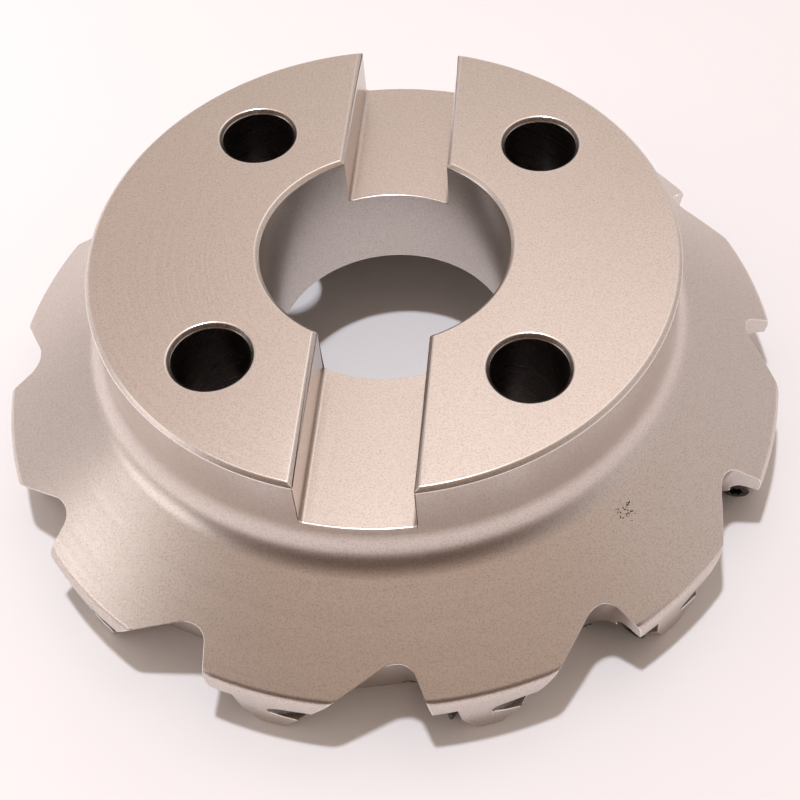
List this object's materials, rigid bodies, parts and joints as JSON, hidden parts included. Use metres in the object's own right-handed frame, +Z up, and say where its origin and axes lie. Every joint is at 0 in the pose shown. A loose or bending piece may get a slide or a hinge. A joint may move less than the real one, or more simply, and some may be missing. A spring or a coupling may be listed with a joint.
{
  "type": "indexable face mill",
  "caption": "Shell-type indexable face mill body with empty trigon insert pockets round its rim and the screws that clamp the inserts.",
  "frame": {"origin": "on the cutter's axis, in the plane of its lower rim", "axes": "+Z up the cutter's axis to its back face, which seats on the spindle; the drive keyway runs along Y"},
  "size_m": [0.1984, 0.1984, 0.062],
  "materials": {
    "plated_steel": "satin warm-grey plating over machined steel",
    "screw_steel": "dark oiled steel"
  },
  "bodies": {
    "cutter": {"cutter_body": "plated_steel"},
    "screw_01": {"insert_screw_01": "screw_steel"},
    "screw_02": {"insert_screw_02": "screw_steel"},
    "screw_03": {"insert_screw_03": "screw_steel"},
    "screw_04": {"insert_screw_04": "screw_steel"},
    "screw_05": {"insert_screw_05": "screw_steel"},
    "screw_06": {"insert_screw_06": "screw_steel"},
    "screw_07": {"insert_screw_07": "screw_steel"},
    "screw_08": {"insert_screw_08": "screw_steel"},
    "screw_09": {"insert_screw_09": "screw_steel"},
    "screw_10": {"insert_screw_10": "screw_steel"},
    "screw_11": {"insert_screw_11": "screw_steel"},
    "screw_12": {"insert_screw_12": "screw_steel"}
  },
  "joints": [
    {"name": "screw_01_out", "type": "slide", "parent": "cutter", "child": "screw_01", "axis": [-0.9043, -0.3989, -0.1519], "range_m": [0, 0.009]},
    {"name": "screw_02_out", "type": "slide", "parent": "cutter", "child": "screw_02", "axis": [-0.5837, -0.7976, -0.1519], "range_m": [0, 0.009]},
    {"name": "screw_03_out", "type": "slide", "parent": "cutter", "child": "screw_03", "axis": [-0.1067, -0.9826, -0.1519], "range_m": [0, 0.009]},
    {"name": "screw_04_out", "type": "slide", "parent": "cutter", "child": "screw_04", "axis": [0.3989, -0.9043, -0.1519], "range_m": [0, 0.009]},
    {"name": "screw_05_out", "type": "slide", "parent": "cutter", "child": "screw_05", "axis": [0.7976, -0.5837, -0.1519], "range_m": [0, 0.009]},
    {"name": "screw_06_out", "type": "slide", "parent": "cutter", "child": "screw_06", "axis": [0.9826, -0.1067, -0.1519], "range_m": [0, 0.009]},
    {"name": "screw_07_out", "type": "slide", "parent": "cutter", "child": "screw_07", "axis": [0.9043, 0.3989, -0.1519], "range_m": [0, 0.009]},
    {"name": "screw_08_out", "type": "slide", "parent": "cutter", "child": "screw_08", "axis": [0.5837, 0.7976, -0.1519], "range_m": [0, 0.009]},
    {"name": "screw_09_out", "type": "slide", "parent": "cutter", "child": "screw_09", "axis": [0.1067, 0.9826, -0.1519], "range_m": [0, 0.009]},
    {"name": "screw_10_out", "type": "slide", "parent": "cutter", "child": "screw_10", "axis": [-0.3989, 0.9043, -0.1519], "range_m": [0, 0.009]},
    {"name": "screw_11_out", "type": "slide", "parent": "cutter", "child": "screw_11", "axis": [-0.7976, 0.5837, -0.1519], "range_m": [0, 0.009]},
    {"name": "screw_12_out", "type": "slide", "parent": "cutter", "child": "screw_12", "axis": [-0.9826, 0.1067, -0.1519], "range_m": [0, 0.009]}
  ]
}
